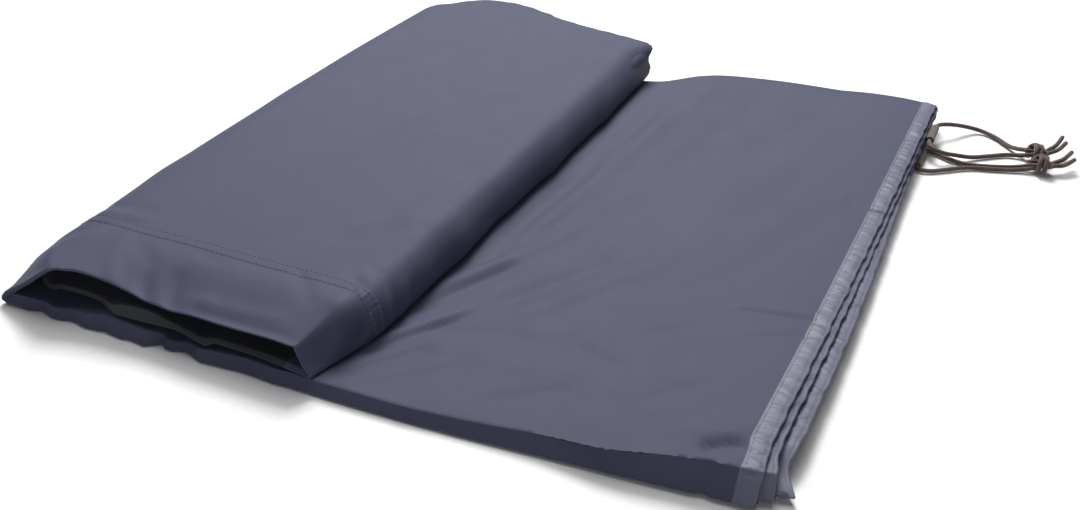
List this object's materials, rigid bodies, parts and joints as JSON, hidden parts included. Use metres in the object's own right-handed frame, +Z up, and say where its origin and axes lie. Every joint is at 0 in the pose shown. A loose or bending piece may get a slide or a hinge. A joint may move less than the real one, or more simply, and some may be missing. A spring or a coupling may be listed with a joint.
{
  "type": "folded tent groundsheet",
  "caption": "Coated groundsheet folded into a strip and half rolled up flat, with hemmed ends and knotted elastic corner loops on ribbon tabs.",
  "frame": {"origin": "under the middle of the folded cloth, on the surface that it lies on", "axes": "+Z up, +X towards the hemmed ends and the cord loops, +Y towards the ragged back edge, -Y towards the long front fold and the open mouth of the roll"},
  "size_m": [0.535, 0.4829, 0.0336],
  "materials": {
    "coated_nylon": "grey-violet woven nylon with a soft, slightly satin coating",
    "ribbon": "matt light brown woven ribbon",
    "elastic_cord": "matt brown braided elastic cord"
  },
  "bodies": {
    "root": {"groundsheet_cloth": "coated_nylon", "tab_upper": "ribbon", "tab_lower": "ribbon", "cord_upper_far": "elastic_cord", "cord_upper_near": "elastic_cord", "cord_lower_far": "elastic_cord", "cord_lower_near": "elastic_cord", "tail_upper_far": "elastic_cord", "tail_upper_near": "elastic_cord", "tail_lower_far": "elastic_cord", "tail_lower_near": "elastic_cord", "knot_upper": "elastic_cord", "knot_lower": "elastic_cord"}
  },
  "joints": []
}
